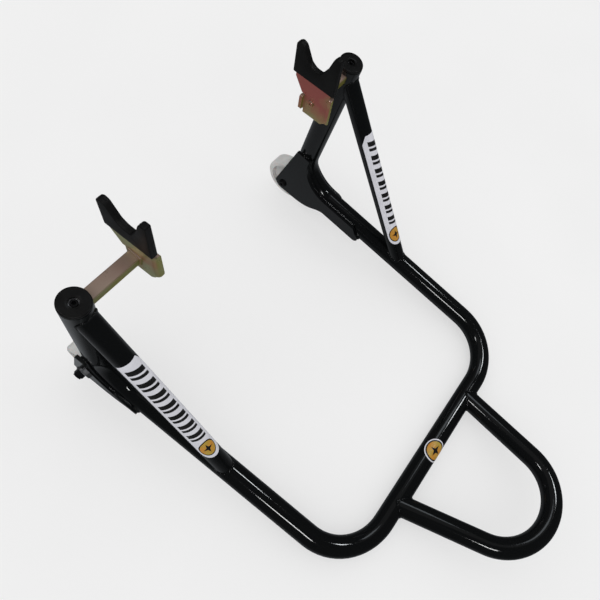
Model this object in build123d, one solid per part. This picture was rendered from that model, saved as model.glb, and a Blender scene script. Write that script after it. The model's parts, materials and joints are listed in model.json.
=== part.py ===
from build123d import *
import math
import os

# Motorcycle rear paddock stand: a bent tube frame with a rear handle, two side braces, two wheels
# under the bends, and two rubber swingarm rests on square bars that slide in the uprights.
#
# Millimetres. The frame is drawn in the plane of its arms: X is across, Y runs from the handle to
# the wheels, Z stands off the arms, and the feet of the uprights are on the line Y = Z = 0.
# Every piece is then tipped back by the angle that stands wheels and crossbar on the floor.

# Tubes
TUBE_D = 32.0
TUBE_WALL = 2.0
BRACE_D = 25.0
BRACE_WALL = 1.5

# Main frame, measured along tube axes
ARM_SPACING = 440.0
ARM_LENGTH = 453.0
UPRIGHT_HEIGHT = 268.5
CROSSBAR_BEND = 82.0
UPRIGHT_BEND = 64.0

# Handle loop
HANDLE_SPACING = 213.0
HANDLE_TAPER = 11.5
HANDLE_BEND = 80.0
HANDLE_RISE = 20.5

# Side braces
BRACE_TOP_DROP = 15.0
BRACE_FOOT_REACH = 224.0

# Wheels and their forks
WHEEL_D = 75.0
WHEEL_WIDTH = 28.4
AXLE_FORWARD = 16.0
AXLE_DROP = 26.0
AXLE_D = 8.0
SLEEVE_D = 12.0
RUNNING_GAP = 0.06
PLATE_T = 5.0
PLATE_LOBE_R = 15.0
PLATE_TOP = 74.0
INNER_TAIL = 146.0
OUTER_TAIL = 80.0
INNER_SETBACK = 12.0
OUTER_SETBACK = 2.0
PLATE_SCREW_R = 70.0
PLATE_SCREW_ANGLE = 28.0

# Swingarm rests. Bracket and pad are drawn upright, then lean forward about the bar's axis.
REST_LEAN = 8.5
BAR_SIDE = 14.0
BAR_HEIGHT = 255.5
BAR_GAP = 0.15
BAR_END = 224.0
WEB_FACE = 142.0
WEB_T = 4.0
WEB_FRONT = 15.0
WEB_REAR = -29.0
WEB_BOTTOM = 234.0
FOLD_R = 5.0
FLANGE_DEPTH = 8.5
WING_TIP = 27.0
PAD_T = 8.0
PAD_FRONT = 31.0
PAD_BOTTOM = 286.0
PAD_SEAT = 306.0
PAD_TOP = 340.0

# Fasteners
HOLE_GAP = 0.1
LOCK_SCREW_D = 8.0
PLATE_SCREW_D = 8.0
REST_SCREW_D = 5.0
REST_SCREW_LENGTH = 20.0
WASHER_D = 18.0
WASHER_T = 1.6
THRUST_T = 1.5

HALF_SPACING = ARM_SPACING / 2
TUBE_R = TUBE_D / 2
BORE_R = TUBE_R - TUBE_WALL
INNER_FLANK = HALF_SPACING - TUBE_R
OUTER_FLANK = HALF_SPACING + TUBE_R
SIDES = {"left": -1, "right": 1}
UPWARD = (Align.CENTER, Align.CENTER, Align.MIN)
DOWNWARD = (Align.CENTER, Align.CENTER, Align.MAX)

# The tilt that brings the wheels and the crossbar to one floor
AXLE_TO_CROSSBAR = math.hypot(ARM_LENGTH + AXLE_FORWARD, AXLE_DROP)
TILT = math.degrees(
    math.asin((WHEEL_D / 2 - TUBE_R) / AXLE_TO_CROSSBAR)
    + math.atan2(AXLE_DROP, ARM_LENGTH + AXLE_FORWARD)
)


def tipped(y, z):
    """A point of the arm plane's Y and Z, after the tilt and before the shift to the origin."""
    angle = math.radians(TILT)
    return (y * math.cos(angle) - z * math.sin(angle), y * math.sin(angle) + z * math.cos(angle))


def handle_apex():
    """Distance from the crossbar's axis to the point where the handle's straight legs would meet."""
    return HANDLE_SPACING / 2 / math.tan(math.radians(HANDLE_TAPER))


def handle_reach():
    """Distance from the crossbar's axis to the far end of the handle's axis, in its own plane."""
    return handle_apex() - HANDLE_BEND / math.sin(math.radians(HANDLE_TAPER)) + HANDLE_BEND


def placement():
    """The move from the arm plane's frame to the part's frame: floor at Z = 0, box centred."""
    rise = math.radians(HANDLE_RISE)
    reach = handle_reach()
    rear, _ = tipped(-ARM_LENGTH - reach * math.cos(rise), reach * math.sin(rise))
    front, axle_z = tipped(AXLE_FORWARD, -AXLE_DROP)
    middle = (front + WHEEL_D / 2 + rear - TUBE_R) / 2
    return Location((0, -middle, WHEEL_D / 2 - axle_z)) * Rot(X=TILT)


def cross_cylinder(radius, x0, x1, y, z):
    """A cylinder whose axis runs along X from x0 to x1."""
    return Pos((x0 + x1) / 2, y, z) * Rot(Y=90) * Cylinder(radius, abs(x1 - x0))


def axle_cylinder(diameter, x0, x1):
    """A cylinder on the wheel's axis."""
    return cross_cylinder(diameter / 2, x0, x1, AXLE_FORWARD, -AXLE_DROP)


def axle_ring(outer_d, inner_d, x0, x1):
    """A flat ring or a tube on the wheel's axis."""
    return axle_cylinder(outer_d, x0, x1) - axle_cylinder(inner_d, x0, x1)


def side_prism(outline, x0, x1):
    """An outline drawn in Y and Z, made solid from x0 to x1."""
    return extrude(Plane.YZ.offset(min(x0, x1)) * outline, abs(x1 - x0))


def hex_prism(across_flats, x0, x1, y, z):
    """A hexagonal prism along X."""
    outline = Pos(y, z) * RegularPolygon(across_flats / 2, 6, major_radius=False)
    return side_prism(outline, x0, x1)


def end_edge(shape, x_direction):
    """The edge of a shape that lies furthest along X in that direction."""
    return shape.edges().sort_by(Axis.X)[-1 if x_direction > 0 else 0]


def hex_blank(across_flats, x0, x1, y, z):
    """A hexagon along X with the corners of its x1 end turned to a cone."""
    corner_cut = 1.2
    turned = cross_cylinder(across_flats / math.sqrt(3), x0, x1, y, z)
    turned = chamfer(end_edge(turned, x1 - x0), corner_cut)
    return hex_prism(across_flats, x0, x1, y, z) & turned


def swept_tube(path, radius, wall, neighbours=()):
    """A round tube with an open bore along a path of lines and arcs, cut to fit its neighbours."""
    start = Plane(origin=path @ 0, x_dir=(1, 0, 0), z_dir=path % 0)
    outside = sweep(start * Circle(radius), path)
    for neighbour in neighbours:
        outside -= neighbour
    return outside - sweep(start * Circle(radius - wall), path)


def plate_screw_place():
    """Y and Z of the screw through the outer plate, a little outside the axis of the bend."""
    angle = math.radians(PLATE_SCREW_ANGLE)
    return (
        PLATE_SCREW_R * math.cos(angle) - UPRIGHT_BEND,
        UPRIGHT_BEND - PLATE_SCREW_R * math.sin(angle),
    )


def main_frame_tube():
    """One tube: upright, arm, crossbar, arm, upright, with the windows for the rest bars."""
    corners = [
        (-HALF_SPACING, 0, UPRIGHT_HEIGHT),
        (-HALF_SPACING, 0, 0),
        (-HALF_SPACING, -ARM_LENGTH, 0),
        (HALF_SPACING, -ARM_LENGTH, 0),
        (HALF_SPACING, 0, 0),
        (HALF_SPACING, 0, UPRIGHT_HEIGHT),
    ]
    bends = [UPRIGHT_BEND, CROSSBAR_BEND, CROSSBAR_BEND, UPRIGHT_BEND]
    tube = swept_tube(FilletPolyline(*corners, radius=bends), TUBE_R, TUBE_WALL)
    window = BAR_SIDE + 1.0
    screw_y, screw_z = plate_screw_place()
    hole_r = PLATE_SCREW_D / 2 + HOLE_GAP
    hole_depth = TUBE_R / 2
    for side in SIDES.values():
        tube -= Pos(side * INNER_FLANK, 0, BAR_HEIGHT) * Box(TUBE_R, window, window)
        bottom = side * (OUTER_FLANK - hole_depth)
        tube -= cross_cylinder(hole_r, bottom, side * OUTER_FLANK, screw_y, screw_z)
    return tube


def handle_tube():
    """The rear loop, coped to sit on the crossbar."""
    rise = math.radians(HANDLE_RISE)
    apex = handle_apex()
    corners = [
        (-HANDLE_SPACING / 2, -ARM_LENGTH, 0),
        (0, -ARM_LENGTH - apex * math.cos(rise), apex * math.sin(rise)),
        (HANDLE_SPACING / 2, -ARM_LENGTH, 0),
    ]
    crossbar = cross_cylinder(TUBE_R, -HANDLE_SPACING, HANDLE_SPACING, -ARM_LENGTH, 0)
    path = FilletPolyline(*corners, radius=HANDLE_BEND)
    return swept_tube(path, TUBE_R, TUBE_WALL, [crossbar])


def brace_tube(side):
    """The strut from the back of an upright to the top of its arm, coped at both ends."""
    x = side * HALF_SPACING
    top_z = UPRIGHT_HEIGHT - BRACE_TOP_DROP
    upright = Pos(x, 0, 0) * Cylinder(TUBE_R, 2 * UPRIGHT_HEIGHT, align=UPWARD)
    arm = Pos(x, -BRACE_FOOT_REACH, 0) * Rot(X=90) * Cylinder(TUBE_R, BRACE_FOOT_REACH)
    under_arm = Pos(x, -BRACE_FOOT_REACH, -TUBE_R) * Box(TUBE_D, BRACE_FOOT_REACH, TUBE_D)
    past_upright = Pos(x, TUBE_R, top_z) * Box(TUBE_D, TUBE_D, 4 * TUBE_D)
    path = Line((x, 0, top_z), (x, -BRACE_FOOT_REACH, 0))
    return swept_tube(path, BRACE_D / 2, BRACE_WALL, [upright, arm, under_arm, past_upright])


def upright_plug(side):
    """The round cap of an upright: a dished head with a hole, a groove under its rim, and a stem."""
    head_r = TUBE_R - 0.3
    stem_r = BORE_R - 0.05
    stem_bore_r = 10.0
    stem_depth = 4.4
    groove = 0.8
    head_top = 4.2
    rim_round = 1.6
    dish_depth = 0.8
    dish_r = 34.0
    screw_way = Cylinder(LOCK_SCREW_D / 2 + 1.0, 5 * head_top)
    head = Pos(0, 0, groove) * Cylinder(head_r, head_top - groove, align=UPWARD)
    head = fillet(head.edges().sort_by(Axis.Z)[-1], rim_round)
    stem = Pos(0, 0, -stem_depth) * Cylinder(stem_r, stem_depth + groove, align=UPWARD)
    stem -= Cylinder(stem_bore_r, stem_depth, align=DOWNWARD)
    dish = Pos(0, 0, head_top - dish_depth + dish_r) * Sphere(dish_r)
    return Pos(side * HALF_SPACING, 0, UPRIGHT_HEIGHT) * (head + stem - dish - screw_way)


def bar_guide(side):
    """The block inside an upright: a square way for the bar and a tapped boss for the screw."""
    roof = 1.4
    height = 25.0
    boss_r = 9.5
    plug_gap = 0.3
    top_z = BAR_HEIGHT + BAR_SIDE / 2 + roof
    way = BAR_SIDE + 2 * BAR_GAP
    block = Cylinder(BORE_R - 0.05, height, align=DOWNWARD)
    block += Cylinder(boss_r, UPRIGHT_HEIGHT - top_z - plug_gap, align=UPWARD)
    block -= Cylinder(LOCK_SCREW_D / 2, height)
    block = Pos(side * HALF_SPACING, 0, top_z) * block
    return block - Pos(side * HALF_SPACING, 0, BAR_HEIGHT) * Box(TUBE_D, way, way)


def lock_screw(side):
    """The socket set screw that presses down on the bar."""
    socket_af = 4.0
    socket_depth = 4.0
    point_z = BAR_HEIGHT + BAR_SIDE / 2 + BAR_GAP
    top_z = UPRIGHT_HEIGHT + 1.2
    screw = Pos(0, 0, point_z) * Cylinder(LOCK_SCREW_D / 2, top_z - point_z, align=UPWARD)
    screw = chamfer(screw.edges().sort_by(Axis.Z)[-1], 0.6)
    opening = RegularPolygon(socket_af / 2, 6, major_radius=False)
    screw -= extrude(Pos(0, 0, top_z - socket_depth) * opening, socket_depth)
    return Pos(side * HALF_SPACING, 0, 0) * screw


def on_lobe(degrees):
    """A point on the rounded end of a wheel plate, by its angle from +Y."""
    angle = math.radians(degrees)
    return (
        AXLE_FORWARD + PLATE_LOBE_R * math.cos(angle),
        -AXLE_DROP + PLATE_LOBE_R * math.sin(angle),
    )


def plate_outline(tail, setback):
    """A wheel plate in Y and Z: a lobe round the axle, a horn up the upright, a tail on the arm.

    Its inner edge follows the axis of the tube, set back from it towards the inside of the bend.
    """
    horn_front = 13.0
    horn_back = -setback
    rail = setback
    tail_low = -15.0
    tail_high = 1.0
    tail_slope = 0.8
    tail_r = (tail_high - tail_low) / 2
    heel = (-18.0, -39.0)
    sole = (-45.0, -30.0)
    tail_start = (-70.0, tail_low)
    # The angle at which a line from the horn's front corner is tangent to the lobe
    lean = math.atan2(horn_front - AXLE_FORWARD, PLATE_TOP + AXLE_DROP)
    to_axle = math.hypot(horn_front - AXLE_FORWARD, PLATE_TOP + AXLE_DROP)
    tangent = -math.degrees(lean + math.asin(PLATE_LOBE_R / to_axle))
    lobe_low = -96.0
    inner_r = UPRIGHT_BEND + horn_back
    bend_middle = inner_r * math.cos(math.radians(45))
    tail_end = (-tail + tail_r, tail_low)
    tail_top = (-tail + tail_r, tail_high)
    rail_end = (-tail + tail_r + tail_slope * (rail - tail_high), rail)
    edges = [
        Line((horn_front, PLATE_TOP), on_lobe(tangent)),
        ThreePointArc(on_lobe(tangent), on_lobe(-45), on_lobe(lobe_low)),
        Line(on_lobe(lobe_low), heel),
        Spline(heel, sole, tail_start, tangents=((-1, 0.15), (-1, 0.25))),
        Line(tail_start, tail_end),
        ThreePointArc(tail_end, (-tail, tail_low + tail_r), tail_top),
        Line(tail_top, rail_end),
        Line(rail_end, (-UPRIGHT_BEND, rail)),
        ThreePointArc(
            (-UPRIGHT_BEND, rail),
            (bend_middle - UPRIGHT_BEND, UPRIGHT_BEND - bend_middle),
            (horn_back, UPRIGHT_BEND),
        ),
        Line((horn_back, UPRIGHT_BEND), (horn_back, PLATE_TOP)),
        Line((horn_back, PLATE_TOP), (horn_front, PLATE_TOP)),
    ]
    return make_face(edges)


def wheel_plate(side, inner):
    """A steel plate on one flank of the bend, with the axle hole."""
    face = INNER_FLANK - PLATE_T if inner else OUTER_FLANK
    if inner:
        outline = plate_outline(INNER_TAIL, INNER_SETBACK)
    else:
        outline = plate_outline(OUTER_TAIL, OUTER_SETBACK)
    outline -= Pos(AXLE_FORWARD, -AXLE_DROP) * Circle(AXLE_D / 2 + HOLE_GAP)
    if not inner:
        outline -= Pos(*plate_screw_place()) * Circle(PLATE_SCREW_D / 2 + HOLE_GAP)
    return side_prism(outline, side * face, side * (face + PLATE_T))


def wheel(side):
    """A nylon wheel: rounded tread, hub, dished web on both faces, running bore."""
    tread_r = WHEEL_D / 2
    tread_bevel = 3.0
    rim_r = 29.0
    hub_r = 12.5
    draft = 2.0
    hub_half = WHEEL_WIDTH / 2
    tread_half = hub_half - THRUST_T + HOLE_GAP
    web_half = 7.0
    bore_r = SLEEVE_D / 2 + RUNNING_GAP
    half_profile = [
        (hub_half, bore_r),
        (hub_half, hub_r),
        (web_half, hub_r + draft),
        (web_half, rim_r - draft),
        (tread_half, rim_r),
        (tread_half, tread_r - tread_bevel),
        (tread_half - tread_bevel, tread_r),
    ]
    other_half = [(-x, r) for x, r in reversed(half_profile)]
    body = revolve(make_face(Polyline(*half_profile, *other_half, close=True)), Axis.X)
    rings = body.edges().filter_by(GeomType.CIRCLE)
    body = fillet([ring for ring in rings if ring.radius > rim_r + 1], 1.2)
    return Pos(side * HALF_SPACING, AXLE_FORWARD, -AXLE_DROP) * body


def axle_sleeve(side):
    """The spacer tube that the wheel turns on, clamped between the plates."""
    bore_d = AXLE_D + 2 * HOLE_GAP
    return axle_ring(SLEEVE_D, bore_d, side * INNER_FLANK, side * OUTER_FLANK)


def thrust_washers(side):
    """The two thin washers between the hub and the plates."""
    bore_d = SLEEVE_D + 2 * HOLE_GAP
    near = [INNER_FLANK, OUTER_FLANK - THRUST_T]
    rings = [axle_ring(WASHER_D, bore_d, side * x, side * (x + THRUST_T)) for x in near]
    return Compound(children=rings)


def axle_bolt(side):
    """The axle: a low domed head on the inner plate and a plain shank to the outer nut."""
    head_d = 14.0
    head_t = 4.0
    head_round = 2.6
    socket_af = 5.0
    socket_depth = 2.4
    past_plate = 10.6
    seat = side * (INNER_FLANK - PLATE_T)
    crown = seat - side * head_t
    shank = axle_cylinder(AXLE_D, seat, side * (OUTER_FLANK + PLATE_T + past_plate))
    shank = chamfer(end_edge(shank, side), 1.0)
    head = axle_cylinder(head_d, seat, crown)
    head = fillet(end_edge(head, -side), head_round)
    socket = hex_prism(socket_af, crown, crown + side * socket_depth, AXLE_FORWARD, -AXLE_DROP)
    return head + shank - socket


def axle_washer(side):
    """The flat washer under the lock nut."""
    seat = side * (OUTER_FLANK + PLATE_T)
    return axle_ring(WASHER_D, AXLE_D + 2 * HOLE_GAP, seat, seat + side * WASHER_T)


def axle_nut(side):
    """The lock nut on the outer end of the axle, with its round collar."""
    across_flats = 13.0
    hex_t = 6.5
    collar_d = 11.4
    collar_t = 2.0
    seat = side * (OUTER_FLANK + PLATE_T + WASHER_T)
    shoulder = seat + side * hex_t
    end = shoulder + side * collar_t
    nut = hex_blank(across_flats, seat, shoulder, AXLE_FORWARD, -AXLE_DROP)
    return nut + axle_cylinder(collar_d, shoulder, end) - axle_cylinder(AXLE_D, seat, end)


def plate_screw(side):
    """The hexagon screw that ties the outer plate to the tube."""
    across_flats = 13.0
    head_t = 5.3
    length = 12.0
    y, z = plate_screw_place()
    seat = side * (OUTER_FLANK + PLATE_T)
    head = hex_blank(across_flats, seat, seat + side * head_t, y, z)
    return head + cross_cylinder(PLATE_SCREW_D / 2, seat - side * length, seat, y, z)


def rest_bar(side):
    """The square bar that carries a rest and slides in the upright."""
    edge_break = 1.0
    near = WEB_FACE + WEB_T
    bar = Pos(side * (near + BAR_END) / 2, 0, BAR_HEIGHT) * Box(BAR_END - near, BAR_SIDE, BAR_SIDE)
    bar = chamfer(bar.edges().filter_by(Axis.X), edge_break)
    tapped = side * (WEB_FACE + REST_SCREW_LENGTH)
    return bar - cross_cylinder(REST_SCREW_D / 2, side * near, tapped, 0, BAR_HEIGHT)


def leant(shape):
    """A piece of a rest, leaning forward about the bar's axis."""
    return Pos(0, 0, BAR_HEIGHT) * Rot(X=-REST_LEAN) * Pos(0, 0, -BAR_HEIGHT) * shape


def for_side(shape, side):
    """A piece drawn on the right, or its mirror image."""
    return shape if side > 0 else mirror(shape, Plane.YZ)


def web_outline():
    """The flat of the bracket in Y and Z: a wing under the pad's horn and a tongue up into it."""
    rear_fold = WEB_REAR + FOLD_R
    front_fold = WEB_FRONT - FOLD_R
    foot_corner = 6.0
    wing_foot = 263.0
    wing_top = 281.0
    tongue_front = 16.0
    tongue_rear = -20.0
    tongue_top = 297.0
    edges = Polyline(
        (rear_fold, PAD_BOTTOM),
        (rear_fold, WEB_BOTTOM + foot_corner),
        (rear_fold + foot_corner, WEB_BOTTOM),
        (front_fold, WEB_BOTTOM),
        (front_fold, wing_foot),
        (WEB_FRONT, wing_foot),
        (WING_TIP, wing_top),
        (WING_TIP, PAD_BOTTOM),
        (tongue_front, PAD_BOTTOM),
        (tongue_front, tongue_top),
        (tongue_rear, tongue_top),
        (tongue_rear, PAD_BOTTOM),
        close=True,
    )
    return make_face(edges)


def folded_flange(edge_y, inward_y, bottom, top):
    """A flange folded back towards the middle of the stand, from its fold to its free edge."""
    fold_y = edge_y + inward_y * FOLD_R
    web_back = WEB_FACE + WEB_T
    fold_x = web_back - FOLD_R
    bend = Pos(fold_x, fold_y) * (Circle(FOLD_R) - Circle(FOLD_R - WEB_T))
    bend &= Pos(fold_x + FOLD_R / 2, fold_y - inward_y * FOLD_R / 2) * Rectangle(FOLD_R, FOLD_R)
    free_x = web_back - FLANGE_DEPTH
    flat = Pos((free_x + fold_x) / 2, edge_y + inward_y * WEB_T / 2)
    section = bend + flat * Rectangle(fold_x - free_x, WEB_T)
    flange = extrude(Pos(0, 0, bottom) * section, top - bottom)
    free_corners = flange.edges().filter_by(Axis.Y).group_by(Axis.X)[0]
    return fillet(free_corners, FOLD_R / 2)


def rest_bracket(side):
    """The folded steel bracket on the end of a bar: a flat web with two flanges folded inward."""
    rear_flange_bottom = 243.0
    rear_flange_top = 283.0
    front_flange_bottom = 240.0
    front_flange_top = 261.0
    web = side_prism(web_outline(), WEB_FACE, WEB_FACE + WEB_T)
    bracket = web + folded_flange(WEB_REAR, 1, rear_flange_bottom, rear_flange_top)
    bracket += folded_flange(WEB_FRONT, -1, front_flange_bottom, front_flange_top)
    hole_r = REST_SCREW_D / 2 + HOLE_GAP
    bracket -= cross_cylinder(hole_r, WEB_FACE, WEB_FACE + WEB_T, 0, BAR_HEIGHT)
    return leant(for_side(bracket, side))


def rest_screw(side):
    """The screw through the web into the end of the bar, with a low round head."""
    head_d = 8.5
    head_t = 2.5
    head_round = 1.6
    socket_af = 3.0
    socket_depth = 1.5
    seat = side * WEB_FACE
    crown = seat - side * head_t
    head = cross_cylinder(head_d / 2, crown, seat, 0, BAR_HEIGHT)
    head = fillet(end_edge(head, -side), head_round)
    socket = hex_prism(socket_af, crown, crown + side * socket_depth, 0, BAR_HEIGHT)
    shank = cross_cylinder(REST_SCREW_D / 2, seat, seat + side * REST_SCREW_LENGTH, 0, BAR_HEIGHT)
    return head + shank - socket


def pad_outline():
    """The rubber saddle in Y and Z: a blunt front horn, a low seat and a tall rear wall."""
    horn_top = PAD_BOTTOM + 44.0
    edges = Polyline(
        (WEB_REAR, PAD_BOTTOM),
        (PAD_FRONT, PAD_BOTTOM),
        (PAD_FRONT, horn_top - 4),
        (26, horn_top),
        (21, horn_top - 2),
        (10, PAD_SEAT + 4),
        (3, PAD_SEAT),
        (-6, PAD_SEAT),
        (-14, PAD_SEAT + 14),
        (-19, PAD_TOP - 4),
        (-22, PAD_TOP),
        (WEB_REAR, PAD_TOP),
        close=True,
    )
    return make_face(edges)


def rest_pad(side):
    """The rubber saddle pushed over the top of the web."""
    corner_r = 1.5
    edge_r = 1.0
    middle = WEB_FACE + WEB_T / 2
    outline = pad_outline()
    outline = fillet(outline.vertices(), corner_r)
    pad = side_prism(outline, middle - PAD_T / 2, middle + PAD_T / 2)
    pad = fillet(pad.faces().filter_by(Axis.X).edges(), edge_r)
    return leant(for_side(pad, side)) - rest_bracket(side)


def build_nodes():
    """All pieces by name, in the arm plane's frame."""
    nodes = {"main_frame_tube": main_frame_tube(), "handle_tube": handle_tube()}
    makers = {
        "brace_tube": brace_tube,
        "upright_plug": upright_plug,
        "bar_guide": bar_guide,
        "lock_screw": lock_screw,
        "wheel_plate_inner": lambda side: wheel_plate(side, True),
        "wheel_plate_outer": lambda side: wheel_plate(side, False),
        "wheel": wheel,
        "axle_sleeve": axle_sleeve,
        "thrust_washers": thrust_washers,
        "axle_bolt": axle_bolt,
        "axle_nut": axle_nut,
        "axle_washer": axle_washer,
        "plate_screw": plate_screw,
        "rest_bar": rest_bar,
        "rest_bracket": rest_bracket,
        "rest_screw": rest_screw,
        "rest_pad": rest_pad,
    }
    for name, maker in makers.items():
        for side_name, side in SIDES.items():
            nodes[f"{name}_{side_name}"] = maker(side)
    return nodes


def main():
    os.makedirs("parts", exist_ok=True)
    move = placement()
    for name, shape in build_nodes().items():
        export_step(move * shape, f"parts/{name}.step")
    print("tilt", round(TILT, 3), "origin shift", move.position)


main()
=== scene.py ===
"""Looks of the motorcycle rear paddock stand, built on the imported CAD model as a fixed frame."""
import json
import math

import bmesh
import bpy
from mathutils import Matrix, Vector

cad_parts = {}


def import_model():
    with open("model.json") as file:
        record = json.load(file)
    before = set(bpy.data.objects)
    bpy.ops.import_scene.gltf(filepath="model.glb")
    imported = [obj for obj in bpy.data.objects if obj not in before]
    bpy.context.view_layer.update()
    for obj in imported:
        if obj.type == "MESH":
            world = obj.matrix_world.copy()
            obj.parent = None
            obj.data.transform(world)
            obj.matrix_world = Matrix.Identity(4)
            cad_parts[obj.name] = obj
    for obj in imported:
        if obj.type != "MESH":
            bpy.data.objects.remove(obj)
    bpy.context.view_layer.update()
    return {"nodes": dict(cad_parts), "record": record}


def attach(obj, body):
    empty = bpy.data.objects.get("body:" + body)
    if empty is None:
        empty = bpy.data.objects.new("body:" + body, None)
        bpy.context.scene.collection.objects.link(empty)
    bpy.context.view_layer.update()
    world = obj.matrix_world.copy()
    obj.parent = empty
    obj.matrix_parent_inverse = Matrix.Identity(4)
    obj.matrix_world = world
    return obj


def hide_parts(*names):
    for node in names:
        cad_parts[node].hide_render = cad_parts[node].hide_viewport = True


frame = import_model()

MM = 0.001
SIDES = {"left": -1, "right": 1}

# Sizes repeated from the CAD model, in its arm plane's frame: Y from the handle to the wheels,
# Z off the arms, zero at the feet of the uprights
TUBE_R = 16 * MM
BRACE_R = 12.5 * MM
HALF_SPACING = 220 * MM
ARM_LENGTH = 453 * MM
HANDLE_SPACING = 213 * MM
HANDLE_TAPER = math.radians(11.5)
HANDLE_RISE = math.radians(20.5)
BRACE_TOP_Z = 253.5 * MM
BRACE_FOOT_Y = -224 * MM
UPRIGHT_BEND = 64 * MM
INNER_TAIL = 146 * MM
OUTER_TAIL = 80 * MM
INNER_SETBACK = 12 * MM
OUTER_SETBACK = 2 * MM
PLATE_TOP = 74 * MM
REST_LEAN = math.radians(8.5)
BAR_HEIGHT = 255.5 * MM
BAR_SIDE = 14 * MM
WEB_FACE = 142 * MM
WEB_T = 4 * MM
PAD_T = 8 * MM
SEAT_Y = -1.5 * MM
SEAT_Z = 306 * MM

# Radii of the weld beads, and how far the handle's beads stay off the floor
HANDLE_BEAD_R = 1.9 * MM
HANDLE_BEAD_CLEARANCE = 2.4 * MM
BRACE_TOP_BEAD_R = 1.3 * MM
BRACE_FOOT_BEAD_R = 1.7 * MM
INNER_RAIL_BEAD_R = 2.6 * MM
OUTER_RAIL_BEAD_R = 2.0 * MM
HORN_BEAD_R = 1.6 * MM
TAIL_BEAD_R = 1.8 * MM
BAR_BEAD_R = 1.4 * MM

# How far each layer of a label stands off the paint; the undersides are sunk into it
FILM_TOP = 0.14 * MM
INK_TOP = 0.2 * MM
AMBER_TOP = 0.25 * MM
STAR_TOP = 0.3 * MM
FILM_UNDERSIDE = -0.25 * MM


def lean_frame():
    """The leaning frame of the rests' brackets and saddles, in the arm plane's frame."""
    bar = Vector((0, 0, BAR_HEIGHT))
    turn = Matrix.Rotation(-REST_LEAN, 4, "X")
    return Matrix.Translation(bar) @ turn @ Matrix.Translation(-bar)


LEAN = lean_frame()


def arm_frame():
    """The arm plane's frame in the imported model's frame, from the left saddle's mount."""
    saddle = next(m for m in frame["record"]["mounts"] if m["name"] == "left_saddle")
    normal = Vector(saddle["axis"])
    turn = Matrix.Rotation(math.atan2(-normal.y, normal.z) + REST_LEAN, 4, "X")
    seat = LEAN @ Vector((saddle["pos_m"][0], SEAT_Y, SEAT_Z))
    return Matrix.Translation(Vector(saddle["pos_m"]) - turn @ seat) @ turn


ARM = arm_frame()


# ---------------------------------------------------------------- node helpers


class Nodes:
    """A short way to write a node tree: n.add("ShaderNodeX", socket=value or node output)."""

    def __init__(self, tree):
        self.tree = tree
        tree.nodes.clear()

    def add(self, kind, settings=None, **sockets):
        made = self.tree.nodes.new(kind)
        for key, value in (settings or {}).items():
            setattr(made, key, value)
        for key, value in sockets.items():
            self.plug(made, key, value)
        return made

    def plug(self, made, key, value):
        index = int(key[2:]) if key.startswith("in") and key[2:].isdigit() else None
        socket = made.inputs[index] if index is not None else made.inputs[key.replace("_", " ")]
        if isinstance(value, bpy.types.NodeSocket):
            self.tree.links.new(value, socket)
        else:
            socket.default_value = value

    def math(self, operation, a, b=0.0, clamp=False):
        settings = {"operation": operation, "use_clamp": clamp}
        return self.add("ShaderNodeMath", settings, in0=a, in1=b).outputs[0]

    def noise(self, vector, scale, detail=3.0, roughness=0.5, stretch=None):
        if stretch:
            mapping = self.add("ShaderNodeMapping", Vector=vector, Scale=stretch)
            vector = mapping.outputs[0]
        made = self.add(
            "ShaderNodeTexNoise", Vector=vector, Scale=scale, Detail=detail, Roughness=roughness
        )
        return made.outputs["Fac"]

    def ramp(self, factor, stops):
        made = self.add("ShaderNodeValToRGB", Fac=factor)
        elements = made.color_ramp.elements
        while len(elements) < len(stops):
            elements.new(1.0)
        for element, (position, colour) in zip(elements, stops):
            element.position = position
            element.color = colour if len(colour) == 4 else (*colour, 1.0)
        return made.outputs["Color"]

    def span(self, factor, low, high, to_low, to_high):
        made = self.add(
            "ShaderNodeMapRange",
            Value=factor,
            From_Min=low,
            From_Max=high,
            To_Min=to_low,
            To_Max=to_high,
        )
        return made.outputs["Result"]

    def mix(self, factor, a, b):
        made = self.add("ShaderNodeMix", {"data_type": "RGBA"}, in0=factor, in6=a, in7=b)
        return made.outputs[2]

    def bump(self, height, strength, distance, below=None):
        made = self.add("ShaderNodeBump", Strength=strength, Distance=distance, Height=height)
        if below:
            self.plug(made, "Normal", below)
        return made.outputs["Normal"]


def grey(value):
    return (value, value, value)


def surface(name, build, **constants):
    """A material with a Principled shader: constants on its own sockets, build() adds the rest."""
    made = bpy.data.materials.new(name)
    made.use_nodes = True
    nodes = Nodes(made.node_tree)
    place = nodes.add("ShaderNodeTexCoord").outputs["Object"]
    shader = nodes.add("ShaderNodeBsdfPrincipled")
    for key, value in constants.items():
        nodes.plug(shader, key, value)
    for key, value in build(nodes, place).items():
        nodes.plug(shader, key, value)
    output = nodes.add("ShaderNodeOutputMaterial")
    made.node_tree.links.new(shader.outputs[0], output.inputs[0])
    made.diffuse_color = (0.5, 0.5, 0.5, 1.0)
    return made


# ---------------------------------------------------------------- materials


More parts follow.
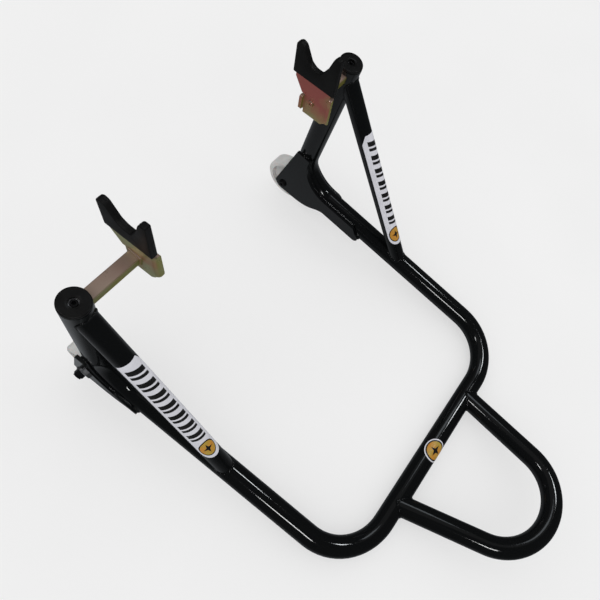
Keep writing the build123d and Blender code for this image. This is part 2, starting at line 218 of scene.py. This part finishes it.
def powder_coat(n, place):
    """Deep gloss black: orange peel, fine dust, and a few hairline scuffs."""
    peel = n.noise(place, 420, 2.0)
    waves = n.noise(place, 90, 2.0)
    dust = n.span(n.noise(place, 1800, 2.0), 0.62, 0.75, 0.0, 1.0)
    handled = n.span(n.noise(place, 14, 4.0, 0.6), 0.5, 0.75, 0.0, 1.0)
    scuff = n.span(n.noise(place, 260, 5.0, 0.7, (1.0, 0.12, 1.0)), 0.66, 0.72, 0.0, 1.0)
    scuff = n.math("MULTIPLY", scuff, handled)
    paint = (0.0032, 0.0036, 0.0038, 1)
    worn = (0.05, 0.05, 0.052, 1)
    tone = n.mix(n.math("MULTIPLY", dust, 0.1), paint, worn)
    tone = n.mix(n.math("MULTIPLY", scuff, 0.2), tone, worn)
    rough = n.span(handled, 0.0, 1.0, 0.07, 0.12)
    rough = n.math("ADD", rough, n.math("MULTIPLY", scuff, 0.15))
    normal = n.bump(waves, 0.04, 0.002)
    normal = n.bump(peel, 0.04, 0.0006, normal)
    return {"Base Color": tone, "Roughness": rough, "Normal": normal}


def yellow_zinc(n, place):
    """Chromate colours that drift between rose and olive from side to side, with painted light by
    face: faces looking up are painted a lighter tan, and faces looking sideways rose against
    olive.
    """
    normal = n.add("ShaderNodeTexCoord").outputs["Normal"]
    split = n.add("ShaderNodeSeparateXYZ", Vector=normal)
    sideways = n.math("ABSOLUTE", split.outputs["X"])
    painted_lit_top_share = n.math("ABSOLUTE", split.outputs["Z"])
    drift = n.noise(place, 26, 2.0, 0.4)
    blotch = n.noise(place, 75, 3.0, 0.55)
    drift = n.math("ADD", n.math("MULTIPLY", drift, 0.75), n.math("MULTIPLY", blotch, 0.25))
    bracket_height = 0.318
    twist = 30.0
    place_split = n.add("ShaderNodeSeparateXYZ", Vector=place)
    across = place_split.outputs["X"]
    above = n.math("SUBTRACT", place_split.outputs["Z"], bracket_height)
    drift = n.math("ADD", drift, n.span(across, -0.15, 0.15, -0.16, 0.04))
    drift = n.math("ADD", drift, n.math("MULTIPLY", n.math("MULTIPLY", across, above), twist))
    rose = n.ramp(
        drift, [(0.3, (0.36, 0.36, 0.17)), (0.44, (0.42, 0.24, 0.13)), (0.6, (0.44, 0.13, 0.11))]
    )
    olive = n.ramp(
        drift, [(0.3, (0.30, 0.30, 0.12)), (0.5, (0.30, 0.28, 0.06)), (0.7, (0.34, 0.27, 0.08))]
    )
    tan = n.ramp(
        drift, [(0.3, (0.50, 0.38, 0.30)), (0.5, (0.46, 0.32, 0.26)), (0.7, (0.42, 0.27, 0.20))]
    )
    # Painted light and shade by face: sideways faces turn rose against olive, and faces looking up
    # turn the lighter tan as a painted lit top.
    tone = n.mix(n.span(sideways, 0.35, 0.8, 0.0, 1.0), olive, rose)
    tone = n.mix(n.span(painted_lit_top_share, 0.35, 0.8, 0.0, 1.0), tone, tan)
    grain = n.noise(place, 900, 3.0, 0.6, (1.0, 0.2, 1.0))
    rough = n.math("ADD", n.span(blotch, 0.3, 0.7, 0.24, 0.36), n.span(grain, 0.3, 0.7, 0.0, 0.06))
    return {"Base Color": tone, "Roughness": rough, "Normal": n.bump(grain, 0.12, 0.0002)}


def dull_zinc(n, place):
    """Bright zinc gone slightly milky."""
    blotch = n.noise(place, 160, 4.0, 0.6)
    spangle = n.noise(place, 1300, 2.0)
    tone = n.ramp(
        blotch, [(0.3, grey(0.36)), (0.55, (0.48, 0.48, 0.5)), (0.75, (0.56, 0.56, 0.57))]
    )
    rough = n.span(blotch, 0.3, 0.7, 0.3, 0.46)
    return {"Base Color": tone, "Roughness": rough, "Normal": n.bump(spangle, 0.15, 0.00015)}


def black_oxide(n, place):
    """Oily black oxide, worn a little towards bare steel."""
    blotch = n.noise(place, 220, 4.0, 0.6)
    worn = n.span(n.noise(place, 700, 4.0, 0.7), 0.6, 0.75, 0.0, 0.5)
    tone = n.mix(worn, (0.008, 0.008, 0.009, 1), (0.07, 0.07, 0.074, 1))
    rough = n.span(blotch, 0.3, 0.7, 0.28, 0.42)
    return {"Base Color": tone, "Roughness": rough, "Normal": n.bump(blotch, 0.1, 0.0003)}


def moulded_plastic(n, place):
    """Black moulded plastic with a fine spark texture."""
    spark = n.noise(place, 2200, 2.0)
    cloud = n.noise(place, 60, 3.0)
    tone = n.ramp(cloud, [(0.3, grey(0.003)), (0.7, grey(0.006))])
    rough = n.span(cloud, 0.3, 0.7, 0.3, 0.42)
    return {"Base Color": tone, "Roughness": rough, "Normal": n.bump(spark, 0.25, 0.0001)}


def grey_nylon(n, place):
    """Light grey nylon: faint flow marks, dirt in patches on the tread."""
    cloud = n.noise(place, 45, 4.0, 0.6)
    flow = n.noise(place, 150, 3.0, 0.6, (0.25, 1.0, 1.0))
    speck = n.span(n.noise(place, 900, 3.0), 0.64, 0.72, 0.0, 1.0)
    tone = n.ramp(cloud, [(0.3, (0.50, 0.50, 0.49)), (0.7, (0.62, 0.62, 0.61))])
    tone = n.mix(n.math("MULTIPLY", speck, 0.35), tone, (0.22, 0.21, 0.19, 1))
    rough = n.span(flow, 0.3, 0.7, 0.38, 0.5)
    return {"Base Color": tone, "Roughness": rough, "Normal": n.bump(flow, 0.12, 0.0006)}


def moulded_rubber(n, place):
    """Matt black rubber with a fine moulded grain and a greyish bloom."""
    grain = n.noise(place, 1500, 3.0)
    lumps = n.noise(place, 120, 3.0)
    bloom = n.noise(place, 40, 4.0, 0.6)
    tone = n.ramp(bloom, [(0.35, grey(0.003)), (0.7, grey(0.006))])
    rough = n.span(bloom, 0.3, 0.7, 0.46, 0.6)
    normal = n.bump(lumps, 0.15, 0.0008)
    return {"Base Color": tone, "Roughness": rough, "Normal": n.bump(grain, 0.3, 0.00012, normal)}


def vinyl(light, dark):
    """Printed vinyl film of one ink, with a slightly uneven gloss."""

    def build(n, place):
        cloud = n.noise(place, 70, 3.0)
        grain = n.noise(place, 1600, 2.0)
        tone = n.ramp(cloud, [(0.3, dark), (0.7, light)])
        rough = n.span(cloud, 0.3, 0.7, 0.22, 0.34)
        return {"Base Color": tone, "Roughness": rough, "Normal": n.bump(grain, 0.05, 0.0001)}

    return build


def stage_paint(n, place):
    cloud = n.noise(place, 3, 2.0)
    return {"Base Color": n.ramp(cloud, [(0.3, grey(0.36)), (0.7, grey(0.38))])}


MATERIALS = {
    "black_powder_coat": surface("black_powder_coat", powder_coat, IOR=1.5),
    "yellow_zinc": surface("yellow_zinc", yellow_zinc, Metallic=0.65),
    "zinc_steel": surface("zinc_steel", dull_zinc, Metallic=1.0),
    "black_steel": surface("black_steel", black_oxide, Metallic=0.6),
    "black_plastic": surface("black_plastic", moulded_plastic, Specular_IOR_Level=0.25),
    "grey_nylon": surface("grey_nylon", grey_nylon, IOR=1.5, Subsurface_Weight=0.05),
    "black_rubber": surface("black_rubber", moulded_rubber, Specular_IOR_Level=0.25),
}
WHITE_FILM = surface("white_film", vinyl((0.72, 0.72, 0.77), (0.66, 0.66, 0.71)))
BLACK_INK = surface("black_ink", vinyl(grey(0.012), grey(0.008)))
AMBER_INK = surface("amber_ink", vinyl((0.58, 0.22, 0.02), (0.42, 0.30, 0.05)))


def dress_cad_nodes():
    """Every CAD node gets the material of its slot, and smooth shading kept as it came."""
    for part in frame["record"]["subparts"]:
        shape = frame["nodes"][part["node"]]
        shape.data.materials.clear()
        shape.data.materials.append(MATERIALS[part["material_slot"]])


# ---------------------------------------------------------------- mesh helpers


def mesh_piece(name, vertices, faces, material, sharp_angle=None):
    """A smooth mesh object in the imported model's frame, from points in the arm plane's frame."""
    mesh = bpy.data.meshes.new(name)
    mesh.from_pydata([ARM @ Vector(v) for v in vertices], [], faces)
    mesh.materials.append(material)
    tidy = bmesh.new()
    tidy.from_mesh(mesh)
    bmesh.ops.recalc_face_normals(tidy, faces=tidy.faces)
    tidy.to_mesh(mesh)
    tidy.free()
    mesh.shade_smooth()
    if sharp_angle:
        mesh.set_sharp_from_angle(angle=sharp_angle)
    made = bpy.data.objects.new(name, mesh)
    bpy.context.scene.collection.objects.link(made)
    return made


def finish_piece(piece, body):
    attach(piece, body)
    return piece


# ---------------------------------------------------------------- weld beads


def bead(name, path, radius, closed=False, body="frame", slot="black_powder_coat"):
    """A weld bead along a path: overlapping ripples, run out at open ends."""
    ring_points = 10
    ripple = 0.8 * radius
    step = ripple / 6
    slant = Vector((0.31, 0.52, 0.79))  # no bead runs along it
    thinnest = 0.02
    resampled = even_points(path, step, closed)
    count = len(resampled)
    vertices = []
    for i, point in enumerate(resampled):
        if closed:
            ahead = resampled[(i + 1) % count] - resampled[i - 1]
        else:
            ahead = resampled[min(i + 1, count - 1)] - resampled[max(i - 1, 0)]
        ahead.normalize()
        side = ahead.cross(slant).normalized()
        up = side.cross(ahead)
        walked = i * step
        phase = (walked / ripple) % 1.0
        swell = 1.0 + 0.16 * (phase**0.5 - 0.6) + 0.07 * math.sin(walked / (4 * radius))
        if not closed:
            run_out = min(i, count - 1 - i) * step / radius
            swell *= math.sqrt(max(thinnest, 1 - max(0.0, 1 - run_out) ** 2))
        for k in range(ring_points):
            angle = 2 * math.pi * k / ring_points
            offset = side * math.cos(angle) + up * math.sin(angle)
            vertices.append(point + offset * (radius * swell))
    faces = []
    for i in range(count if closed else count - 1):
        for k in range(ring_points):
            a = i * ring_points + k
            b = i * ring_points + (k + 1) % ring_points
            shift = ((i + 1) % count - i) * ring_points
            faces.append((a, b, b + shift, a + shift))
    if not closed:
        faces.append(tuple(range(ring_points)))
        faces.append(tuple(range((count - 1) * ring_points, count * ring_points)))
    return finish_piece(mesh_piece(name, vertices, faces, MATERIALS[slot]), body)


def even_points(path, step, closed):
    """Points at even steps along a polyline."""
    corners = list(path) + ([path[0]] if closed else [])
    lengths = [(b - a).length for a, b in zip(corners, corners[1:])]
    total = sum(lengths)
    count = max(4, round(total / step))
    made = []
    leg = 0
    walked = 0.0
    for i in range(count if closed else count + 1):
        wanted = total * i / count
        while leg < len(lengths) - 1 and walked + lengths[leg] < wanted:
            walked += lengths[leg]
            leg += 1
        share = (wanted - walked) / lengths[leg]
        made.append(corners[leg].lerp(corners[leg + 1], min(share, 1.0)))
    return made


def saddle_curve(start, direction, radius, main_axis, main_point, main_radius, points=96):
    """Where a tube leaving through another tube's wall meets its surface, all the way round."""
    direction = direction.normalized()
    first = direction.cross(main_axis).normalized()
    second = direction.cross(first)
    curve = []
    for i in range(points):
        angle = 2 * math.pi * i / points
        origin = start + (first * math.cos(angle) + second * math.sin(angle)) * radius
        across = origin - main_point
        across -= main_axis * across.dot(main_axis)
        slope = direction - main_axis * direction.dot(main_axis)
        a = slope.dot(slope)
        b = 2 * across.dot(slope)
        c = across.dot(across) - main_radius**2
        reach = (-b + math.sqrt(max(0.0, b * b - 4 * a * c))) / (2 * a)
        curve.append(origin + direction * reach)
    return curve


def above_floor(curve, clearance):
    """The one run of a closed curve that stays clear of the floor."""
    heights = [(ARM @ point).z for point in curve]
    lowest = heights.index(min(heights))
    turned = curve[lowest:] + curve[:lowest]
    return [point for point in turned if (ARM @ point).z > clearance]


def handle_welds():
    for side_name, side in SIDES.items():
        start = Vector((side * HANDLE_SPACING / 2, -ARM_LENGTH, 0))
        lean = Vector((-side * math.sin(HANDLE_TAPER), -math.cos(HANDLE_TAPER), 0))
        forward = lean.y * math.cos(HANDLE_RISE)
        direction = Vector((lean.x, forward, -lean.y * math.sin(HANDLE_RISE)))
        curve = saddle_curve(start, direction, TUBE_R, Vector((1, 0, 0)), start, TUBE_R)
        open_curve = above_floor(curve, HANDLE_BEAD_CLEARANCE)
        bead(f"handle_weld_{side_name}", open_curve, HANDLE_BEAD_R)


def brace_welds():
    for side_name, side in SIDES.items():
        top = Vector((side * HALF_SPACING, 0, BRACE_TOP_Z))
        foot = Vector((side * HALF_SPACING, BRACE_FOOT_Y, 0))
        upper = saddle_curve(top, foot - top, BRACE_R, Vector((0, 0, 1)), top, TUBE_R)
        lower = saddle_curve(foot, top - foot, BRACE_R, Vector((0, 1, 0)), foot, TUBE_R)
        bead(f"brace_top_weld_{side_name}", upper, BRACE_TOP_BEAD_R, closed=True)
        bead(f"brace_foot_weld_{side_name}", lower, BRACE_FOOT_BEAD_R, closed=True)


def round_bend(setback, x, start_y, top_z, steps=24):
    """A line along an arm, round its upright's bend and up, set back from the tube's axis."""
    radius = UPRIGHT_BEND - setback
    path = [Vector((x, start_y, setback))]
    for i in range(steps + 1):
        angle = math.radians(90 * i / steps)
        y = -UPRIGHT_BEND + radius * math.sin(angle)
        z = UPRIGHT_BEND - radius * math.cos(angle)
        path.append(Vector((x, y, z)))
    path.append(Vector((x, -setback, top_z)))
    return path


def horn_path(side, outward, back, steps=8):
    """The corner between the top edge of a fork plate and the round flank of its upright."""
    front = 8 * MM
    path = []
    for i in range(steps + 1):
        y = back + (front - back) * i / steps
        off_axis = math.sqrt(TUBE_R**2 - y**2) + 0.5 * MM
        path.append(Vector((side * (HALF_SPACING + outward * off_axis), y, PLATE_TOP)))
    return path


def plate_welds():
    """Beads along the fork plates: the rail round the bend, the tail's end and the horn's top."""
    for side_name, side in SIDES.items():
        inner = side * (HALF_SPACING - TUBE_R + 2.0 * MM)
        outer = side * (HALF_SPACING + TUBE_R + 1.0 * MM)
        rail = INNER_SETBACK - 0.8 * MM
        rail_top = PLATE_TOP - 2 * MM
        inner_path = round_bend(rail, inner, -INNER_TAIL + 18 * MM, rail_top)
        bead(f"inner_rail_weld_{side_name}", inner_path, INNER_RAIL_BEAD_R)
        outer_path = round_bend(OUTER_SETBACK + 1 * MM, outer, -OUTER_TAIL + 10 * MM, rail_top)
        bead(f"outer_rail_weld_{side_name}", outer_path, OUTER_RAIL_BEAD_R)
        inner_top = horn_path(side, -1, -8 * MM)
        bead(f"inner_horn_weld_{side_name}", inner_top, HORN_BEAD_R)
        outer_top = horn_path(side, 1, -OUTER_SETBACK)
        bead(f"outer_horn_weld_{side_name}", outer_top, HORN_BEAD_R)
        tails = (
            ("inner", inner - side * 1.4 * MM, INNER_TAIL),
            ("outer", outer - side * MM, OUTER_TAIL),
        )
        for name, x, tail in tails:
            corners = ((9, 3), (3, 0), (-0.5, -5), (1, -10))
            tail_path = [Vector((x, -tail + y * MM, z * MM)) for y, z in corners]
            bead(f"{name}_tail_weld_{side_name}", tail_path, TAIL_BEAD_R)


def bar_welds():
    """A small bead round each square bar, where it meets the web of its bracket."""
    reach = BAR_SIDE / 2 + 0.4 * MM
    corners = ((-reach, -reach), (reach, -reach), (reach, reach), (-reach, reach))
    for side_name, side in SIDES.items():
        x = side * (WEB_FACE + WEB_T + 0.4 * MM)
        path = [Vector((x, y, BAR_HEIGHT + z)) for y, z in corners]
        bead(f"bar_weld_{side_name}", path, BAR_BEAD_R, True, f"{side_name}_rest", "yellow_zinc")


# ---------------------------------------------------------------- rubber saddles


def rounded(corners, radius, steps=5):
    """A closed outline with each corner rounded by a quadratic curve."""
    made = []
    count = len(corners)
    for i, corner in enumerate(corners):
        before = corners[i - 1] - corner
        after = corners[(i + 1) % count] - corner
        first = corner + before.normalized() * min(radius, 0.45 * before.length)
        last = corner + after.normalized() * min(radius, 0.45 * after.length)
        for k in range(steps + 1):
            share = k / steps
            made.append(first.lerp(corner, share).lerp(corner.lerp(last, share), share))
    return made


def inset(outline, distance):
    """The outline moved inwards, for an outline that runs anticlockwise."""
    moved = []
    count = len(outline)
    for i, point in enumerate(outline):
        along = (outline[(i + 1) % count] - outline[i - 1]).normalized()
        moved.append(point + Vector((-along.y, along.x)) * distance)
    return moved


def rubber_saddles():
    """The moulded saddles: soft edges and a fine parting ridge round the middle."""
    corners_mm = [
        (-29, 286),
        (31, 286),
        (31, 326),
        (26, 330),
        (20, 328),
        (10, 310),
        (3, 306),
        (-6, 306),
        (-14, 320),
        (-19, 336),
        (-22, 340),
        (-29, 340),
    ]
    outline = rounded([Vector(corner) * MM for corner in corners_mm], 2.2 * MM)
    half = PAD_T / 2
    edge = 1.3 * MM
    ridge_half_width = 0.25 * MM
    ridge_height = 0.22 * MM
    edge_steps = 4
    layers = [(0.0, 0.0), (ridge_half_width, ridge_height), (half - edge, ridge_height)]
    for k in range(1, edge_steps + 1):
        angle = math.radians(90 * k / edge_steps)
        depth = ridge_height + edge * (1 - math.cos(angle))
        layers.append((half - edge + edge * math.sin(angle), depth))
    layers = [(-x, depth) for x, depth in reversed(layers[1:])] + layers
    for side_name, side in SIDES.items():
        middle = side * (WEB_FACE + WEB_T / 2)
        vertices = []
        for x, depth in layers:
            vertices += [LEAN @ Vector((middle + x, y, z)) for y, z in inset(outline, depth)]
        count = len(outline)
        faces = [tuple(range(count)), tuple(range(len(vertices) - count, len(vertices)))]
        for row in range(len(layers) - 1):
            for k in range(count):
                a = row * count + k
                b = row * count + (k + 1) % count
                faces.append((a, b, b + count, a + count))
        pad = mesh_piece(
            f"saddle_{side_name}", vertices, faces, MATERIALS["black_rubber"], math.radians(40)
        )
        finish_piece(pad, f"{side_name}_rest")
        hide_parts(f"rest_pad_{side_name}")


# ---------------------------------------------------------------- labels


class Wrap:
    """Places on a tube's surface: millimetres along it and degrees round it."""

    def __init__(self, name, origin, along, up, radius, squeeze=1.0):
        self.name = name
        self.origin = origin
        self.along = along.normalized()
        self.up = up.normalized()
        self.side = Vector((1, 0, 0)) if abs(self.along.x) < 0.5 else Vector((0, 1, 0))
        self.radius = radius
        self.squeeze = squeeze

    def point(self, along_mm, degrees, stand_off):
        angle = math.radians(degrees)
        outward = self.up * math.cos(angle) + self.side * math.sin(angle)
        return self.origin + self.along * (along_mm * MM) + outward * (self.radius + stand_off)

    def degrees(self, width_mm):
        return math.degrees(width_mm * MM / self.radius)

    def film(self, name, shape, top, material, slot, rows=24, columns=24):
        """A thin closed patch: shape(u, v) gives its place for u and v from 0 to 1."""
        vertices = []
        for stand_off in (top, FILM_UNDERSIDE):
            for i in range(rows + 1):
                for k in range(columns + 1):
                    place = shape(i / rows, k / columns)
                    vertices.append(self.point(*place, stand_off))
        width = columns + 1
        layer = (rows + 1) * width
        faces = []
        for i in range(rows):
            for k in range(columns):
                a = i * width + k
                quad = (a, a + 1, a + width + 1, a + width)
                faces.append(quad)
                faces.append(tuple(layer + corner for corner in reversed(quad)))
        rim = list(range(width))
        rim += [i * width + columns for i in range(1, rows + 1)]
        rim += [rows * width + k for k in reversed(range(columns))]
        rim += [i * width for i in reversed(range(1, rows))]
        for a, b in zip(rim, rim[1:] + rim[:1]):
            faces.append((a, b, b + layer, a + layer))
        piece = mesh_piece(f"{self.name}_{name}", vertices, faces, material, math.radians(50))
        return finish_piece(piece, "frame")

    def disc(self, name, along_mm, degrees, radius_mm, top, material, slot, pinch=0.0):
        """A round patch, narrower round the tube if squeezed, or a star if pinched."""

        def shape(u, v):
            a = 2 * u - 1
            b = 2 * v - 1
            across = a * math.sqrt(1 - b * b / 2)
            around = b * math.sqrt(1 - a * a / 2)
            turn = math.atan2(around, across)
            reach = radius_mm * (1 - pinch * math.sqrt(abs(math.sin(2 * turn))))
            turned = self.degrees(reach * around * self.squeeze)
            return along_mm + reach * across, degrees + turned

        return self.film(name, shape, top, material, slot)

    def badge(self, along_mm, degrees, radius_mm):
        """A generic round badge: a black ring round an amber field with a plain black star."""
        field = 0.87 * radius_mm
        star = 0.62 * radius_mm
        pinch = 0.66
        black = (BLACK_INK, "black_plastic")
        self.disc("badge_ring", along_mm, degrees, radius_mm, INK_TOP, *black)
        self.disc("badge_field", along_mm, degrees, field, AMBER_TOP, AMBER_INK, "grey_nylon")
        self.disc("badge_star", along_mm, degrees, star, STAR_TOP, *black, pinch)


def brace_label(side_name, side, start_mm):
    """A long white label on a brace, with plain slanted bars and a round badge at its foot."""
    length_mm = 205
    half_width = 76
    group_count = 7
    group_pitch_mm = 22.5
    bars_mm = ((0, 7.5), (10.5, 4.5))
    slant_mm = 6
    bar_near = 56 * side
    bar_span = -96 * side
    first_bar_mm = 9
    notch_mm = 13
    notch_from = 0.55
    notch_share = 0.45
    top = Vector((side * HALF_SPACING, 0, BRACE_TOP_Z))
    foot = Vector((side * HALF_SPACING, BRACE_FOOT_Y, 0))
    along = foot - top
    up = Vector((0, -BRACE_TOP_Z, -BRACE_FOOT_Y))
    wrap = Wrap(f"brace_label_{side_name}", top, along, up, BRACE_R, 0.8)
    end_round_mm = half_width / wrap.degrees(1)

    def backing(u, v):
        across = 2 * v - 1
        notch = notch_mm * max(0.0, across * side * -1 - notch_from) / notch_share
        start = start_mm + notch
        end = start_mm + length_mm - end_round_mm * (1 - math.sqrt(1 - across * across))
        return start + (end - start) * u, half_width * across

    wrap.film("film", backing, FILM_TOP, WHITE_FILM, "grey_nylon", rows=40, columns=32)
    for k in range(group_count):
        for number, (offset, width) in enumerate(bars_mm, 1):
            first = start_mm + first_bar_mm + k * group_pitch_mm + offset

            def bar(u, v, first=first, width=width):
                degrees = bar_near + bar_span * v
                return first + width * u + slant_mm * (0.5 + degrees / abs(bar_span)), degrees

            wrap.film(f"bar_{k + 1}_{number}", bar, INK_TOP, BLACK_INK, "black_plastic", 6, 20)
    badge_from_end_mm = 21
    wrap.badge(start_mm + length_mm - badge_from_end_mm, degrees=-10, radius_mm=14.8)


def labels():
    for side_name, side, start_mm in (("left", -1, 79), ("right", 1, 87)):
        brace_label(side_name, side, start_mm)
    crossbar = Wrap(
        "crossbar", Vector((0, -ARM_LENGTH, 0)), Vector((1, 0, 0)), Vector((0, 0, 1)), TUBE_R
    )
    along_mm = -7
    degrees = -12
    crossbar.disc("badge_film", along_mm, degrees, 18.5, FILM_TOP, WHITE_FILM, "grey_nylon")
    crossbar.badge(along_mm, degrees, 16.5)


# ---------------------------------------------------------------- stage, lights and camera


def floor():
    """A plain pale floor, partly lit by itself, that the gloss doesn't mirror."""
    size = 30.0
    mesh = bpy.data.meshes.new("floor")
    corners = [(-size, -size, 0), (size, -size, 0), (size, size, 0), (-size, size, 0)]
    mesh.from_pydata(corners, [], [(0, 1, 2, 3)])
    paint = surface(
        "stage_paint",
        stage_paint,
        Roughness=0.9,
        Specular_IOR_Level=0.1,
        Emission_Color=(1, 1, 1, 1),
        Emission_Strength=0.545,
    )
    mesh.materials.append(paint)
    made = bpy.data.objects.new("floor", mesh)
    made.visible_glossy = False
    bpy.context.scene.collection.objects.link(made)


def softbox(name, azimuth, elevation, distance, width, height, radiance, colour=(1, 1, 1)):
    """A rectangular light that shows only in the gloss, aimed at the stand.

    Azimuth is in degrees from +Y towards +X, elevation in degrees, and the rest in metres.
    """
    turn = math.radians(azimuth)
    rise = math.radians(elevation)
    aim = Vector((0, -0.05, 0.1))
    level = math.cos(rise)
    toward = Vector((math.sin(turn) * level, math.cos(turn) * level, math.sin(rise)))
    data = bpy.data.lights.new(name, "AREA")
    data.shape = "RECTANGLE"
    data.size = width
    data.size_y = height
    data.energy = radiance * math.pi * width * height
    data.color = colour
    made = bpy.data.objects.new(name, data)
    made.location = aim + toward * distance
    made.rotation_euler = (-toward).to_track_quat("-Z", "Y").to_euler()
    made.visible_diffuse = False
    bpy.context.scene.collection.objects.link(made)


def lights():
    """Each box: azimuth, elevation, distance, width, height, radiance and colour."""
    softbox("right_box", 110, 62, 2.2, 0.25, 0.2, 24, (0.93, 0.97, 1.0))
    softbox("left_box", -117, 51, 2.2, 0.46, 0.2, 22)
    softbox("front_left_box", -50, 54, 2.2, 0.22, 0.22, 18)
    softbox("front_right_box", 57, 63, 2.2, 0.6, 0.5, 1.6, (0.85, 0.93, 1.0))
    softbox("overhead", 20, 68, 2.6, 2.2, 2.2, 0.11)


def world():
    """White surroundings for matt surfaces; the gloss mirrors dark ones with a pale ring below."""
    made = bpy.data.worlds.new("studio")
    made.use_nodes = True
    bpy.context.scene.world = made
    nodes = Nodes(made.node_tree)
    direction = nodes.add("ShaderNodeTexCoord").outputs["Generated"]
    height = nodes.add("ShaderNodeSeparateXYZ", Vector=direction).outputs["Z"]
    rise = nodes.span(height, -1.0, 1.0, 0.0, 1.0)
    mirrored = nodes.ramp(
        rise, [(0.014, grey(0.04)), (0.03, grey(0.2)), (0.1, grey(0.2)), (0.35, grey(0.04))]
    )
    bright = nodes.add("ShaderNodeBackground", Color=(1, 1, 1, 1), Strength=0.88)
    dim = nodes.add("ShaderNodeBackground", Color=(0.9, 0.95, 1, 1), Strength=mirrored)
    glossy = nodes.add("ShaderNodeLightPath").outputs["Is Glossy Ray"]
    both = nodes.add("ShaderNodeMixShader", in0=glossy, in1=bright.outputs[0], in2=dim.outputs[0])
    output = nodes.add("ShaderNodeOutputWorld")
    made.node_tree.links.new(both.outputs[0], output.inputs[0])


def camera():
    data = bpy.data.cameras.new("camera")
    made = bpy.data.objects.new("camera", data)
    made.location = (-0.2938, 0.0556, 0.8375)
    made.rotation_euler = [math.radians(angle) for angle in (21.57, -14.819, -53.997)]
    data.lens = 32.467
    data.shift_x = -0.0983
    data.shift_y = 0.0204
    data.clip_start = 0.01
    bpy.context.scene.collection.objects.link(made)
    bpy.context.scene.camera = made


dress_cad_nodes()
handle_welds()
brace_welds()
plate_welds()
bar_welds()
rubber_saddles()
labels()
floor()
lights()
world()
camera()
bpy.context.scene.view_settings.view_transform = "Standard"
